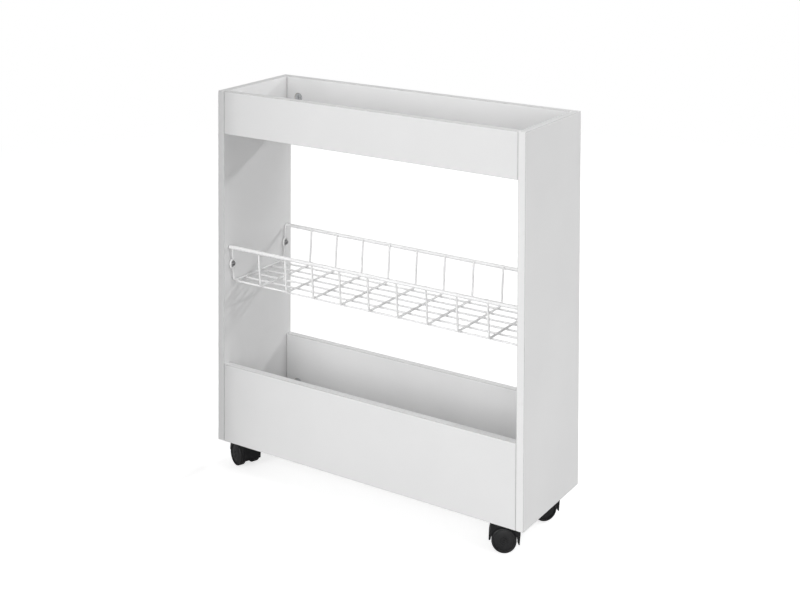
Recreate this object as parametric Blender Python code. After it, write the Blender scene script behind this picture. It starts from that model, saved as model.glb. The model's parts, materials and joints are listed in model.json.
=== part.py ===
"""Slim rolling pantry cart: board cabinet with a tray, a wire basket and a bin, on four castors.

Metres, +Z up. The origin is on the floor, under the middle of the cart. +X is the cart's right,
-Y is its front. Each castor stands in its own swivel direction, as if the cart had just been pushed.
"""
import math

import bmesh
import bpy
from mathutils import Matrix, Vector

# ---- Cabinet ---------------------------------------------------------------------------------
CART_WIDTH = 0.550
CART_DEPTH = 0.176
BODY_HEIGHT = 0.562
BOARD = 0.012               # thickness of every board
TRAY_BOARD_HEIGHT = 0.068   # front and back boards of the top tray
BIN_BOARD_HEIGHT = 0.124    # front and back boards of the bottom bin
SEAM = 0.0003               # gap between neighbouring pieces
EDGE_ROUND = 0.0006         # softened board edges

# ---- Wire basket, heights above the bottom of the cabinet --------------------------------------
CROSS_WIRE_RADIUS = 0.00175
FLOOR_WIRE_RADIUS = 0.00165
RIM_WIRE_RADIUS = 0.0030
CROSS_WIRES = 11
CROSS_WIRE_PITCH = 0.0517
BASKET_FLOOR_HEIGHT = 0.2535
BASKET_RIM_HEIGHT = 0.3100
BASKET_FLOOR_HALF = 0.0660   # half width of a cross wire where its sides start to rise
BASKET_TOP_HALF = 0.0705     # half width of a cross wire at the rim
CROSS_WIRE_BEND = 0.0060
FLOOR_WIRES = 6
FLOOR_WIRE_PITCH = 0.0231
WELD_SINK = 0.0005           # how far welded wires sink into each other
EYELET_HEIGHT = 0.2820
EYELET_Y = 0.0695
EYELET_RADIUS = 0.0068       # centre line of the ring
BASKET_END_GAP = 0.0004      # between the end wires and the side panels

# ---- Castors -----------------------------------------------------------------------------------
CASTOR_HEIGHT = 0.044
CASTOR_X = 0.239
CASTOR_Y = 0.057
PLATE_SIZE = 0.050
PLATE_THICKNESS = 0.0025
PLATE_CORNER = 0.005
PLATE_HOLE_PITCH = 0.031
KING_PIN_RADIUS = 0.0040
KING_PIN_LENGTH = 0.0105
TRAIL = 0.0095
WHEEL_RADIUS = 0.018
WHEEL_INNER_FACE = 0.0036    # distances along the axle from the castor's middle plane
TREAD_INNER_FACE = 0.0076
WHEEL_OUTER_FACE = 0.0178
AXLE_RADIUS = 0.0020
AXLE_HALF_LENGTH = 0.0148
HOOD_HALF_WIDTH = 0.0160
HOOD_INNER_RADIUS = 0.0195
HOOD_TOP_GAP = 0.0005
RUNNING_GAP = 0.0003

# Direction from each swivel axis to its wheels, in degrees from +X.
CASTORS = {
    "front_left": (-CASTOR_X, -CASTOR_Y, 157.0),
    "front_right": (CASTOR_X, -CASTOR_Y, 208.0),
    "back_left": (-CASTOR_X, CASTOR_Y, 195.0),
    "back_right": (CASTOR_X, CASTOR_Y, 229.0),
}

# ---- Fasteners ---------------------------------------------------------------------------------
SCREW_RADIUS = 0.00175
SCREW_PILOT_RADIUS = 0.00205
CASTOR_SCREW_HEAD = 0.0033   # countersunk, flush with the underside of the plate
CASTOR_SCREW_CONE = 0.0018
CASTOR_SCREW_DEPTH = 0.0088
BASKET_SCREW_HEAD = 0.0056
BASKET_SCREW_DEPTH = 0.0080
CAM_RADIUS = 0.0075
CAM_DEPTH = 0.0090
CAM_FROM_END = 0.0240
CAM_SLOT_WIDTH = 0.0014
TRAY_CAM_HEIGHT = 0.034      # above the lower edge of its board
BIN_CAM_HEIGHT = 0.045

ROUND_STEPS = 20
WIRE_SIDES = 8
SMALL_STEPS = 8

BODY_BOTTOM = CASTOR_HEIGHT
BODY_TOP = CASTOR_HEIGHT + BODY_HEIGHT
HALF_WIDTH = CART_WIDTH / 2
HALF_DEPTH = CART_DEPTH / 2
PANEL_INNER = HALF_WIDTH - BOARD
LONG_HALF = PANEL_INNER - SEAM
FRONT_INNER = HALF_DEPTH - BOARD
TRAY_BOTTOM = BODY_TOP - TRAY_BOARD_HEIGHT
CAM_X = LONG_HALF - CAM_FROM_END
END_WIRE_X = PANEL_INNER - BASKET_END_GAP - CROSS_WIRE_RADIUS


# ---- Tools -------------------------------------------------------------------------------------
def clear_scene():
    for item in list(bpy.data.objects):
        bpy.data.objects.remove(item, do_unlink=True)


def make_material(name, colour, roughness, metallic):
    material = bpy.data.materials.new(name)
    material.use_nodes = True
    shader = material.node_tree.nodes["Principled BSDF"]
    shader.inputs["Base Color"].default_value = (*colour, 1.0)
    shader.inputs["Roughness"].default_value = roughness
    shader.inputs["Metallic"].default_value = metallic
    material.diffuse_color = (*colour, 1.0)
    return material


def mesh_from(bm, name):
    bmesh.ops.recalc_face_normals(bm, faces=bm.faces)
    mesh = bpy.data.meshes.new(name)
    bm.to_mesh(mesh)
    bm.free()
    return mesh


def add_object(name, mesh, material=None, smooth=False):
    item = bpy.data.objects.new(name, mesh)
    bpy.context.scene.collection.objects.link(item)
    if material and not mesh.materials:
        mesh.materials.append(material)
    if smooth:
        mesh.shade_smooth()
        mesh.set_sharp_from_angle(angle=math.radians(35))
    return item


def add_cutter(name, mesh):
    item = add_object(name, mesh)
    item.hide_render = True
    item.display_type = "WIRE"
    return item


def add_boolean(item, cutter, operation="DIFFERENCE"):
    modifier = item.modifiers.new(operation.title(), "BOOLEAN")
    modifier.operation = operation
    modifier.solver = "EXACT"
    modifier.object = cutter


def box_mesh(name, low, high):
    bm = bmesh.new()
    bmesh.ops.create_cube(bm, size=1.0)
    for vert in bm.verts:
        for axis in range(3):
            vert.co[axis] = high[axis] if vert.co[axis] > 0 else low[axis]
    return mesh_from(bm, name)


def cylinders_mesh(name, places, radius, length, axis, steps):
    """Closed rods of one size, each centred on its place, along 'X', 'Y' or 'Z'."""
    turn = {"X": Matrix.Rotation(math.pi / 2, 4, "Y"), "Y": Matrix.Rotation(math.pi / 2, 4, "X"),
            "Z": Matrix.Identity(4)}[axis]
    bm = bmesh.new()
    for place in places:
        bmesh.ops.create_cone(bm, cap_ends=True, segments=steps, radius1=radius, radius2=radius,
                              depth=length, matrix=Matrix.Translation(place) @ turn)
    return mesh_from(bm, name)


def add_lathe(bm, profile, steps, place=(0, 0, 0)):
    """Closed solid turned about +Z from (radius, height) points; a radius of 0 is on the axis."""
    rings = []
    for radius, height in profile:
        if radius == 0:
            rings.append([bm.verts.new(Vector(place) + Vector((0, 0, height)))] * steps)
            continue
        turns = [2 * math.pi * k / steps for k in range(steps)]
        points = [Vector((radius * math.cos(a), radius * math.sin(a), height)) for a in turns]
        rings.append([bm.verts.new(Vector(place) + point) for point in points])
    for lower, upper in zip(rings, rings[1:] + rings[:1]):
        for k in range(steps):
            corners = [lower[k], lower[k - 1], upper[k - 1], upper[k]]
            face = list(dict.fromkeys(corners))
            if len(face) > 2:
                bm.faces.new(face)


def lathe_mesh(name, profile, steps, places=((0, 0, 0),)):
    bm = bmesh.new()
    for place in places:
        add_lathe(bm, profile, steps, place)
    return mesh_from(bm, name)


def extruded_mesh(name, outline, half_width):
    """Prism from a closed (x, z) outline, from y = -half_width to y = +half_width."""
    bm = bmesh.new()
    near = [bm.verts.new((x, -half_width, z)) for x, z in outline]
    far = [bm.verts.new((x, half_width, z)) for x, z in outline]
    bm.faces.new(near)
    bm.faces.new(far)
    for k in range(len(outline)):
        bm.faces.new((near[k - 1], near[k], far[k], far[k - 1]))
    return mesh_from(bm, name)


def arc(centre, radius, start, end, steps):
    """Points on an arc; angles in degrees, both ends included."""
    turn = [math.radians(start + (end - start) * k / steps) for k in range(steps + 1)]
    return [(centre[0] + radius * math.cos(a), centre[1] + radius * math.sin(a)) for a in turn]


def rounded_path(corners, radius, steps):
    """Polyline in space whose inner corners are replaced by arcs of the given radius."""
    points = [Vector(corners[0])]
    for before, here, after in zip(corners, corners[1:], corners[2:]):
        here = Vector(here)
        back = (Vector(before) - here).normalized()
        ahead = (Vector(after) - here).normalized()
        half = back.angle(ahead) / 2
        centre = here + (back + ahead).normalized() * radius / math.sin(half)
        first = here + back * radius / math.tan(half) - centre
        last = here + ahead * radius / math.tan(half) - centre
        points += [centre + first.slerp(last, k / steps).normalized() * radius for k in range(steps + 1)]
    return points + [Vector(corners[-1])]


def add_tube(bm, path, radius, side, closed=False):
    """Round wire along a path that stays in a plane; side is that plane's normal."""
    side = Vector(side)
    count = len(path)
    rings = []
    for k, point in enumerate(path):
        ahead = path[(k + 1) % count] if closed or k + 1 < count else point
        behind = path[k - 1] if closed or k > 0 else point
        across = side.cross(ahead - behind).normalized()
        ring = []
        for j in range(WIRE_SIDES):
            angle = 2 * math.pi * (j + 0.5) / WIRE_SIDES
            offset = side * math.cos(angle) + across * math.sin(angle)
            ring.append(bm.verts.new(point + offset * radius))
        rings.append(ring)
    pairs = list(zip(rings, rings[1:]))
    if closed:
        pairs.append((rings[-1], rings[0]))
    else:
        bm.faces.new(rings[0])
        bm.faces.new(rings[-1])
    for first, second in pairs:
        for j in range(WIRE_SIDES):
            bm.faces.new((first[j - 1], first[j], second[j], second[j - 1]))


# ---- Cabinet -----------------------------------------------------------------------------------
def add_board(name, low, high, material, cutters=()):
    item = add_object(name, box_mesh(name, low, high), material)
    rounding = item.modifiers.new("EdgeRounding", "BEVEL")
    rounding.width = EDGE_ROUND
    rounding.segments = 1
    for cutter in cutters:
        add_boolean(item, cutter)
    return item


def add_cabinet(melamine):
    eyelets = {side: [(side * PANEL_INNER, front * EYELET_Y, BODY_BOTTOM + EYELET_HEIGHT)
                      for front in (-1, 1)] for side in (-1, 1)}
    for name, side in (("left_side_panel", -1), ("right_side_panel", 1)):
        pilots = add_cutter(name + "_pilots", cylinders_mesh(
            name + "_pilots", eyelets[side], SCREW_PILOT_RADIUS, 2 * BASKET_SCREW_DEPTH, "X", SMALL_STEPS))
        edges = sorted((side * PANEL_INNER, side * HALF_WIDTH))
        add_board(name, (edges[0], -HALF_DEPTH, BODY_BOTTOM), (edges[1], HALF_DEPTH, BODY_TOP),
                  melamine, [pilots])

    for level, bottom, height, cam_height in (
            ("tray", TRAY_BOTTOM, TRAY_BOARD_HEIGHT, TRAY_CAM_HEIGHT),
            ("bin", BODY_BOTTOM, BIN_BOARD_HEIGHT, BIN_CAM_HEIGHT)):
        for place, side in (("front", -1), ("back", 1)):
            name = f"{level}_{place}_board"
            cam_places = [(end * CAM_X, side * FRONT_INNER, bottom + cam_height) for end in (-1, 1)]
            bores = add_cutter(name + "_bores", cylinders_mesh(
                name + "_bores", cam_places, CAM_RADIUS + RUNNING_GAP,
                2 * (CAM_DEPTH + RUNNING_GAP), "Y", ROUND_STEPS))
            edges = sorted((side * FRONT_INNER, side * HALF_DEPTH))
            add_board(name, (-LONG_HALF, edges[0], bottom), (LONG_HALF, edges[1], bottom + height),
                      melamine, [bores])

    floor_half = FRONT_INNER - SEAM
    pilots = add_cutter("bin_floor_pilots", cylinders_mesh(
        "bin_floor_pilots", castor_screw_places(BODY_BOTTOM), SCREW_PILOT_RADIUS,
        2 * (CASTOR_SCREW_DEPTH + RUNNING_GAP), "Z", SMALL_STEPS))
    add_board("tray_floor", (-LONG_HALF, -floor_half, TRAY_BOTTOM),
              (LONG_HALF, floor_half, TRAY_BOTTOM + BOARD), melamine)
    add_board("bin_floor", (-LONG_HALF, -floor_half, BODY_BOTTOM),
              (LONG_HALF, floor_half, BODY_BOTTOM + BOARD), melamine, [pilots])


# ---- Wire basket -------------------------------------------------------------------------------
def basket_cross_wires():
    """The U-shaped wires, side by side; the two end ones are broken by their eyelets."""
    bottom = BODY_BOTTOM + BASKET_FLOOR_HEIGHT
    top = BODY_BOTTOM + BASKET_RIM_HEIGHT + RIM_WIRE_RADIUS / 2

    def half_width_at(height):
        rise = (height - bottom) / (top - bottom)
        return BASKET_FLOOR_HALF + rise * (BASKET_TOP_HALF - BASKET_FLOOR_HALF)

    def add_cross_wire(bm, x, tip):
        half = half_width_at(tip)
        corners = [(x, -half, tip), (x, -BASKET_FLOOR_HALF, bottom),
                   (x, BASKET_FLOOR_HALF, bottom), (x, half, tip)]
        add_tube(bm, rounded_path(corners, CROSS_WIRE_BEND, 3), CROSS_WIRE_RADIUS, (1, 0, 0))

    bm = bmesh.new()
    inner_half = (CROSS_WIRES - 3) // 2
    for k in range(-inner_half, inner_half + 1):
        add_cross_wire(bm, k * CROSS_WIRE_PITCH, top)
    below_eyelet = BODY_BOTTOM + EYELET_HEIGHT - EYELET_RADIUS
    above_eyelet = BODY_BOTTOM + EYELET_HEIGHT + EYELET_RADIUS
    for end in (-1, 1):
        add_cross_wire(bm, end * END_WIRE_X, below_eyelet)
        for side in (-1, 1):
            stub = [Vector((end * END_WIRE_X, side * half_width_at(z), z)) for z in (above_eyelet, top)]
            add_tube(bm, stub, CROSS_WIRE_RADIUS, (1, 0, 0))
    return mesh_from(bm, "basket_cross_wires")


def basket_long_wires():
    """Rim wires, floor wires and the screw eyelets, none of which touch each other."""
    half_length = END_WIRE_X + CROSS_WIRE_RADIUS
    floor_z = BODY_BOTTOM + BASKET_FLOOR_HEIGHT - CROSS_WIRE_RADIUS - FLOOR_WIRE_RADIUS + WELD_SINK
    rim_z = BODY_BOTTOM + BASKET_RIM_HEIGHT
    rim_y = BASKET_TOP_HALF + CROSS_WIRE_RADIUS + RIM_WIRE_RADIUS - WELD_SINK
    bm = bmesh.new()
    for side in (-1, 1):
        path = [Vector((-half_length, side * rim_y, rim_z)), Vector((half_length, side * rim_y, rim_z))]
        add_tube(bm, path, RIM_WIRE_RADIUS, (0, 0, 1))
    for k in range(FLOOR_WIRES):
        y = (k - (FLOOR_WIRES - 1) / 2) * FLOOR_WIRE_PITCH
        add_tube(bm, [Vector((-half_length, y, floor_z)), Vector((half_length, y, floor_z))],
                 FLOOR_WIRE_RADIUS, (0, 0, 1))
    for end in (-1, 1):
        for side in (-1, 1):
            ring = arc((side * EYELET_Y, BODY_BOTTOM + EYELET_HEIGHT), EYELET_RADIUS, 0, 360, 16)
            path = [Vector((end * END_WIRE_X, y, z)) for y, z in ring[:-1]]
            add_tube(bm, path, CROSS_WIRE_RADIUS, (1, 0, 0), closed=True)
    return mesh_from(bm, "basket_long_wires")


def add_basket(powder_coat):
    basket = add_object("wire_basket", basket_cross_wires(), powder_coat, smooth=True)
    add_boolean(basket, add_cutter("basket_long_wires", basket_long_wires()), "UNION")


# ---- Fasteners ---------------------------------------------------------------------------------
def castor_screw_places(height):
    half = PLATE_HOLE_PITCH / 2
    return [(x + across * half, y + along * half, height)
            for x, y, _ in CASTORS.values() for across in (-1, 1) for along in (-1, 1)]


def add_castor_screws(steel):
    """Countersunk screws pointing up through the plates into the bin floor."""
    land = 0.0003
    under_plate = BODY_BOTTOM - SEAM - PLATE_THICKNESS
    tip = BODY_BOTTOM + CASTOR_SCREW_DEPTH - under_plate
    profile = [(0, 0), (CASTOR_SCREW_HEAD, 0), (CASTOR_SCREW_HEAD, land), (SCREW_RADIUS, CASTOR_SCREW_CONE),
               (SCREW_RADIUS, tip - SCREW_RADIUS), (0, tip)]
    mesh = lathe_mesh("castor_screw", profile, SMALL_STEPS)
    for k, place in enumerate(castor_screw_places(under_plate)):
        corner = list(CASTORS)[k // 4]
        screw = add_object(f"{corner}_plate_screw_{k % 4 + 1}", mesh, steel, smooth=True)
        screw.location = place


def add_basket_screws(steel):
    """Wide-headed screws through the basket's eyelets into the side panels."""
    head_height = 0.0022
    dome = 0.6 * head_height
    head_x = PANEL_INNER - BASKET_END_GAP - 2 * CROSS_WIRE_RADIUS - RUNNING_GAP
    shank = PANEL_INNER + BASKET_SCREW_DEPTH - RUNNING_GAP - head_x
    profile = [(0, -head_height), (0.7 * BASKET_SCREW_HEAD, -head_height), (BASKET_SCREW_HEAD, -dome),
               (BASKET_SCREW_HEAD, 0), (SCREW_RADIUS, 0), (SCREW_RADIUS, shank - SCREW_RADIUS), (0, shank)]
    mesh = lathe_mesh("basket_screw", profile, SMALL_STEPS)
    for end, end_name in ((-1, "left"), (1, "right")):
        for side, side_name in ((-1, "front"), (1, "back")):
            screw = add_object(f"basket_screw_{side_name}_{end_name}", mesh, steel, smooth=True)
            screw.location = (end * head_x, side * EYELET_Y, BODY_BOTTOM + EYELET_HEIGHT)
            screw.rotation_euler = (0, end * math.pi / 2, 0)


def add_cam_locks(zinc):
    """Cam discs set into the inner faces of the four long boards, slot side out."""
    disc = cylinders_mesh("cam_lock", [(0, 0, 0)], CAM_RADIUS, CAM_DEPTH, "Y", ROUND_STEPS)
    slot_half = (0.6 * CAM_RADIUS, CAM_SLOT_WIDTH / 2)
    for level, height in (("tray", TRAY_BOTTOM + TRAY_CAM_HEIGHT), ("bin", BODY_BOTTOM + BIN_CAM_HEIGHT)):
        for side, side_name in ((-1, "front"), (1, "back")):
            middle = side * (FRONT_INNER + CAM_DEPTH / 2)
            for end, end_name in ((-1, "left"), (1, "right")):
                name = f"{level}_{side_name}_cam_lock_{end_name}"
                cam = add_object(name, disc, zinc, smooth=True)
                cam.location = (end * CAM_X, middle, height)
                slot = add_cutter(name + "_slot", box_mesh(
                    name + "_slot",
                    (end * CAM_X - slot_half[0], side * FRONT_INNER - CAM_SLOT_WIDTH, height - slot_half[1]),
                    (end * CAM_X + slot_half[0], side * FRONT_INNER + CAM_SLOT_WIDTH, height + slot_half[1])))
                add_boolean(cam, slot)


# ---- Castors -----------------------------------------------------------------------------------
def plate_mesh():
    """Square plate with rounded corners, four screw holes and the riveted king pin below it."""
    inset = PLATE_SIZE / 2 - PLATE_CORNER
    outline = []
    for sx, sy, start in ((1, 1, 0), (-1, 1, 90), (-1, -1, 180), (1, -1, 270)):
        outline += arc((sx * inset, sy * inset), PLATE_CORNER, start, start + 90, 3)
    top = -SEAM
    bottom = top - PLATE_THICKNESS
    bm = bmesh.new()
    lower = [bm.verts.new((x, y, bottom)) for x, y in outline]
    upper = [bm.verts.new((x, y, top)) for x, y in outline]
    bm.faces.new(lower)
    bm.faces.new(upper)
    for k in range(len(outline)):
        bm.faces.new((lower[k - 1], lower[k], upper[k], upper[k - 1]))
    return mesh_from(bm, "castor_plate")


def countersink_mesh():
    """Cutter for the plate's four screw holes, each wider at the underside."""
    bottom = -SEAM - PLATE_THICKNESS
    wide = CASTOR_SCREW_HEAD + RUNNING_GAP
    profile = [(0, bottom - SEAM), (wide, bottom - SEAM), (wide, bottom + RUNNING_GAP),
               (SCREW_PILOT_RADIUS, bottom + CASTOR_SCREW_CONE + RUNNING_GAP), (SCREW_PILOT_RADIUS, SEAM),
               (0, SEAM)]
    half = PLATE_HOLE_PITCH / 2
    places = [(sx * half, sy * half, 0) for sx in (-1, 1) for sy in (-1, 1)]
    return lathe_mesh("plate_countersinks", profile, SMALL_STEPS, places)


def king_pin_mesh():
    """Pin with a chamfered tip; its upper end is buried in the plate."""
    top = -SEAM - PLATE_THICKNESS / 2
    tip = -SEAM - PLATE_THICKNESS - KING_PIN_LENGTH
    chamfer = 0.001
    profile = [(0, tip), (KING_PIN_RADIUS - chamfer, tip), (KING_PIN_RADIUS, tip + chamfer),
               (KING_PIN_RADIUS, top), (0, top)]
    return lathe_mesh("king_pin", profile, ROUND_STEPS)


def hood_outline():
    """Side view of the hood, from its rear tip over the top to its front tip; wheel centre at (0, 0)."""
    top = CASTOR_HEIGHT - SEAM - PLATE_THICKNESS - HOOD_TOP_GAP - WHEEL_RADIUS
    outer = [(0.0214, -0.0004), (0.0219, 0.0010), (0.0190, top - 0.0035)]
    outer += arc((0.0165, top - 0.0025), 0.0025, 0, 90, 3)
    outer += arc((-0.0205, top - 0.0030), 0.0030, 90, 180, 3)
    outer += [(-0.0235, 0.0100), (-0.0222, -0.0055), (-0.0214, -0.0060), (-0.0206, -0.0050)]
    return outer + arc((0, 0), HOOD_INNER_RADIUS, 180, 0, 18)


def web_outline():
    """Middle web that hangs from the hood and ends in the axle boss."""
    boss = 0.0055
    return ([(-0.0170, 0.0120), (-0.0150, 0.0080)] + arc((0, 0), boss, 200, 350, 8)
            + [(0.0085, 0.0120), (0.0100, 0.0185), (-0.0160, 0.0185)])


def housing_parts():
    """Meshes of the hood, web, pin socket and bores, with the swivel axis at x = y = 0."""
    def from_wheel(points):
        return [(x + TRAIL, z + WHEEL_RADIUS) for x, z in points]

    plate_bottom = CASTOR_HEIGHT - SEAM - PLATE_THICKNESS
    hood_top = plate_bottom - HOOD_TOP_GAP
    pin_tip = plate_bottom - KING_PIN_LENGTH
    socket_wall = 0.0022
    socket_radius = KING_PIN_RADIUS + RUNNING_GAP + socket_wall
    socket_bottom = pin_tip - 0.0025
    socket = [(0, socket_bottom), (socket_radius, socket_bottom),
              (socket_radius, hood_top - 0.0010), (0, hood_top - 0.0010)]
    bore = [(0, pin_tip - 0.0006), (KING_PIN_RADIUS + RUNNING_GAP, pin_tip - 0.0006),
            (KING_PIN_RADIUS + RUNNING_GAP, hood_top + 0.002), (0, hood_top + 0.002)]
    return {
        "hood": extruded_mesh("castor_hood", from_wheel(hood_outline()), HOOD_HALF_WIDTH),
        "web": extruded_mesh("castor_web", from_wheel(web_outline()), WHEEL_INNER_FACE - 0.0006),
        "socket": lathe_mesh("castor_socket", socket, ROUND_STEPS),
        "bore": lathe_mesh("king_pin_bore", bore, ROUND_STEPS),
        "axle_bore": cylinders_mesh("axle_bore", [(TRAIL, 0, WHEEL_RADIUS)], AXLE_RADIUS + RUNNING_GAP,
                                    2 * HOOD_HALF_WIDTH, "Y", ROUND_STEPS),
    }


def wheel_mesh():
    """Hollow-backed wheel turned about +Z, its tread from TREAD_INNER_FACE to the outer face."""
    bore = AXLE_RADIUS + RUNNING_GAP
    hub = 0.0055
    rim_inner = 0.0146
    web_face = 0.0138
    shoulder = 0.0016
    profile = [(bore, WHEEL_INNER_FACE), (hub, WHEEL_INNER_FACE), (hub, web_face), (rim_inner, web_face),
               (rim_inner, TREAD_INNER_FACE), (WHEEL_RADIUS, TREAD_INNER_FACE),
               (WHEEL_RADIUS, WHEEL_OUTER_FACE - shoulder), (WHEEL_RADIUS - shoulder, WHEEL_OUTER_FACE),
               (0, WHEEL_OUTER_FACE), (0, AXLE_HALF_LENGTH + RUNNING_GAP),
               (bore, AXLE_HALF_LENGTH + RUNNING_GAP)]
    return lathe_mesh("castor_wheel", profile, ROUND_STEPS)


def add_castors(black_steel, black_plastic, steel):
    plate, pin, parts, wheel = plate_mesh(), king_pin_mesh(), housing_parts(), wheel_mesh()
    axle = cylinders_mesh("castor_axle", [(0, 0, 0)], AXLE_RADIUS, 2 * AXLE_HALF_LENGTH, "Y", ROUND_STEPS)
    countersinks = countersink_mesh()
    for corner, (x, y, heading) in CASTORS.items():
        mounting = add_object(f"{corner}_castor_plate", plate, black_steel, smooth=True)
        mounting.location = (x, y, BODY_BOTTOM)
        rivet = add_cutter(f"{corner}_king_pin", pin)
        rivet.location = mounting.location
        plate_holes = add_cutter(f"{corner}_plate_holes", countersinks)
        plate_holes.location = mounting.location
        add_boolean(mounting, rivet, "UNION")
        add_boolean(mounting, plate_holes)

        swivel = bpy.data.objects.new(f"{corner}_swivel", None)
        bpy.context.scene.collection.objects.link(swivel)
        swivel.location = (x, y, 0)
        swivel.rotation_euler = (0, 0, math.radians(heading))
        housing = add_object(f"{corner}_castor_housing", parts["hood"], black_plastic, smooth=True)
        housing.parent = swivel
        for part, operation in (("web", "UNION"), ("socket", "UNION"), ("bore", "DIFFERENCE"),
                                ("axle_bore", "DIFFERENCE")):
            tool = add_cutter(f"{corner}_{part}", parts[part])
            tool.parent = swivel
            add_boolean(housing, tool, operation)

        rod = add_object(f"{corner}_castor_axle", axle, steel, smooth=True)
        rod.parent = swivel
        rod.location = (TRAIL, 0, WHEEL_RADIUS)
        for side, turn in (("left", -1), ("right", 1)):
            disc = add_object(f"{corner}_castor_wheel_{side}", wheel, black_plastic, smooth=True)
            disc.parent = swivel
            disc.location = (TRAIL, 0, WHEEL_RADIUS)
            disc.rotation_euler = (turn * math.pi / 2, 0, 0)


clear_scene()
WHITE_MELAMINE = make_material("white_melamine", (0.86, 0.86, 0.86), 0.45, 0.0)
WHITE_POWDER_COAT = make_material("white_powder_coat", (0.88, 0.88, 0.87), 0.40, 0.0)
BLACK_PLASTIC = make_material("black_plastic", (0.035, 0.035, 0.037), 0.50, 0.0)
BLACK_STEEL = make_material("black_steel", (0.03, 0.03, 0.03), 0.45, 0.6)
ZINC = make_material("zinc", (0.62, 0.62, 0.63), 0.35, 1.0)

add_cabinet(WHITE_MELAMINE)
add_basket(WHITE_POWDER_COAT)
add_castors(BLACK_STEEL, BLACK_PLASTIC, ZINC)
add_castor_screws(ZINC)
add_basket_screws(ZINC)
add_cam_locks(ZINC)
bpy.context.view_layer.update()
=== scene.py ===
"""Looks of the rolling pantry cart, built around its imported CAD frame.

Metres, +Z up, +X to the cart's right, -Y to its front. Every board, wire, screw and castor part is rebuilt
here with fine geometry and a procedural finish, in the place that the frame gives it. Only the castor axles
keep their CAD mesh.
"""

import json
import math

import bmesh
import bpy
from mathutils import Matrix, Vector


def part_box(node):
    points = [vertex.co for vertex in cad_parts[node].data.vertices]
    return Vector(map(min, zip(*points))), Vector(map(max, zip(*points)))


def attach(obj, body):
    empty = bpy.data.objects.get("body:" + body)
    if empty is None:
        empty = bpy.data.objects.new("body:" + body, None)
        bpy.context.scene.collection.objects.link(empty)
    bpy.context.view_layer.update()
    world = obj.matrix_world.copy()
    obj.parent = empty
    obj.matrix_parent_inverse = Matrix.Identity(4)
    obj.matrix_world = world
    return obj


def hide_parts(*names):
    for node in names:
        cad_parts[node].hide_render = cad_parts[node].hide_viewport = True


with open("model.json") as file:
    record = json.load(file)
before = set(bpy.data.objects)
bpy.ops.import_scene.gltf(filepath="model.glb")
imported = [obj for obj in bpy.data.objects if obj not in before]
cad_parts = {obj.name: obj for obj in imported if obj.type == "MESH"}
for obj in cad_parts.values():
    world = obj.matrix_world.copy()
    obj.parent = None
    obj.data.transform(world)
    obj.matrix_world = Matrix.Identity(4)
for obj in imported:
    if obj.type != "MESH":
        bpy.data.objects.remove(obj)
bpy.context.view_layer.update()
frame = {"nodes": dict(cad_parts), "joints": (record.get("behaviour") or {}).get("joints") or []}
JOINTS = {joint["name"]: joint for joint in frame["joints"]}

# ---- Sizes that the frame's boxes don't hold ---------------------------------------------------
BOARD_ROUND = 0.0007
PILOT_RADIUS = 0.00205
PANEL_PILOT_LENGTH = 0.016
FLOOR_PILOT_LENGTH = 0.018

CAM_CLEARANCE = 0.0003
CAM_EDGE = 0.0004
CAM_DISH = 0.0005
CAM_RIM_SHARE = 0.80        # shares of the cam lock's radius
CAM_DISH_SHARE = 0.74
CAM_RECESS_SHARE = 1.05
CAM_RECESS_ARM = 0.0016
CAM_RECESS_DEPTH = 0.0026

CROSS_WIRE = 0.00175        # wire radii
FLOOR_WIRE = 0.00165
RIM_WIRE = 0.0030
THIN_WIRE_TIP = 0.0005      # how much the wires' cut ends are rounded
RIM_WIRE_TIP = 0.0007
WIRE_SIDES = 14
CROSS_WIRE_PITCH = 0.0517
INNER_CROSS_WIRES = 9
BASKET_FLOOR = 0.2535       # heights above the bottom of the cabinet
BASKET_RIM = 0.3100
EYELET_HEIGHT = 0.2820
BASKET_FLOOR_HALF = 0.0660
BASKET_TOP_HALF = 0.0705
EYELET_Y = 0.0695
EYELET_HALF_WIDTH = 0.0050
EYELET_HALF_HEIGHT = 0.0067
CROSS_WIRE_BEND = 0.0060
FLOOR_WIRES = 6
FLOOR_WIRE_PITCH = 0.0231
BASKET_END_GAP = 0.0004
WELD_SINK = 0.0005
FLOOR_WELD = (0.0019, 0.0019, 0.0009)       # half sizes along X, Y and Z
RIM_WELD = (0.0021, 0.0010, 0.0026)

WHEEL_RADIUS = 0.018
WHEEL_INNER_FACE = 0.0036
TREAD_INNER_FACE = 0.0076
WHEEL_OUTER_FACE = 0.0178
AXLE_RADIUS = 0.0020
AXLE_HALF_LENGTH = 0.0148
HUB_RADIUS = 0.0055
WHEEL_WEB_BACK = 0.0138
TREAD_INNER_RADIUS = 0.0146
TREAD_SHOULDER = 0.0017
TREAD_LIP = 0.0006
SMALL_ROUND = 0.0004
HOOD_HALF_WIDTH = 0.0160
HOOD_INNER_RADIUS = 0.0188
HOOD_ROUND = 0.0005
WEB_HALF_WIDTH = 0.0030
KING_PIN_RADIUS = 0.0040
SOCKET_WALL = 0.0022
SOCKET_FLOOR = 0.0025
RUNNING_GAP = 0.0003
PLATE_THICKNESS = 0.0025
PLATE_CORNER = 0.005
PLATE_HOLE_PITCH = 0.031
SCREWS_PER_PLATE = 4
SCREW_RADIUS = 0.00175
CASTOR_SCREW_HEAD = 0.0033
CASTOR_SCREW_CONE = 0.0018
BASKET_SCREW_HEAD = 0.0038
BASKET_SCREW_HEIGHT = 0.0022
BASKET_SCREW_SHANK = 0.0116
BASKET_SCREW_RECESS = (0.0046, 0.0011, 0.0017)      # span, width of an arm, depth
CASTOR_SCREW_RECESS = (0.0036, 0.0009, 0.0014)
SCREW_POINT = 0.002

BOARD_SHARP_ANGLE = math.radians(50)
WIRE_SHARP_ANGLE = math.radians(60)
PART_SHARP_ANGLE = math.radians(35)

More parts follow.
